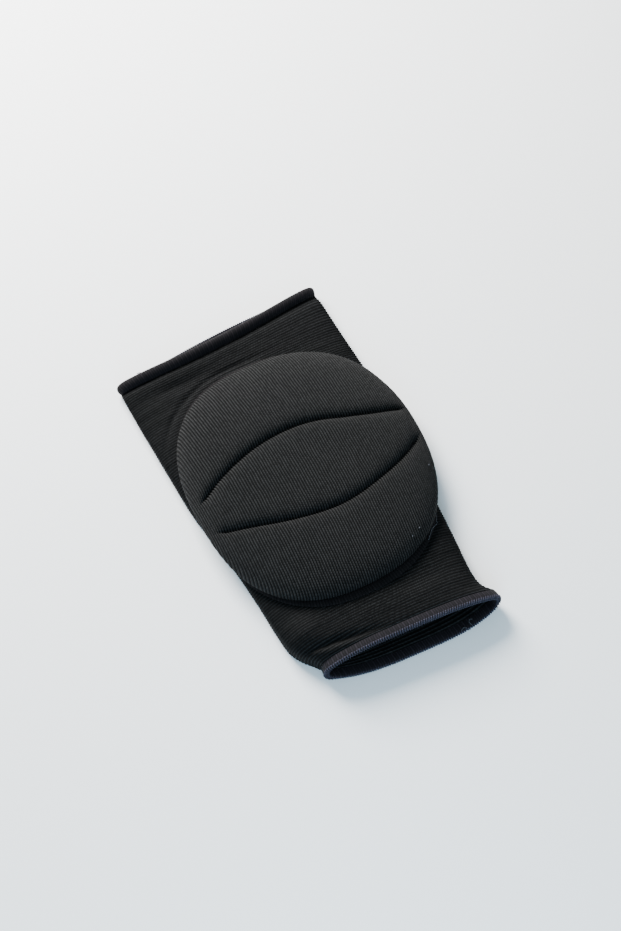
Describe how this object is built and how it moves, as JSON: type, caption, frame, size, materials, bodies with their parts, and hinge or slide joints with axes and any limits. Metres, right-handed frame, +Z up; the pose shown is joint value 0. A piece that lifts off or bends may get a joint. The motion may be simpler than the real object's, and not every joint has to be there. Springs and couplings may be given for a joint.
{
  "type": "volleyball knee pad",
  "caption": "Knitted knee sleeve lying flat, open at both ends, with a thick ribbed foam pad in three lobes sewn to its front layer.",
  "frame": {"origin": "middle of the box of the underside, on the surface that the back layer lies on", "axes": "+X across the leg, +Y along the leg from the shin mouth to the thigh mouth, +Z up through the pad"},
  "size_m": [0.1538, 0.2642, 0.0334],
  "materials": {
    "sleeve_knit": "matt elastic rib knit, charcoal black",
    "hem_knit": "matt rolled and overlocked knit edge, navy black",
    "pad_knit": "matt fine rib knit cover over foam, charcoal grey",
    "seam_cloth": "matt flat sewn flange, navy black"
  },
  "bodies": {
    "root": {"sleeve": "sleeve_knit", "thigh_hem": "hem_knit", "shin_hem": "hem_knit", "pad": "pad_knit", "pad_seam": "seam_cloth"}
  },
  "joints": []
}
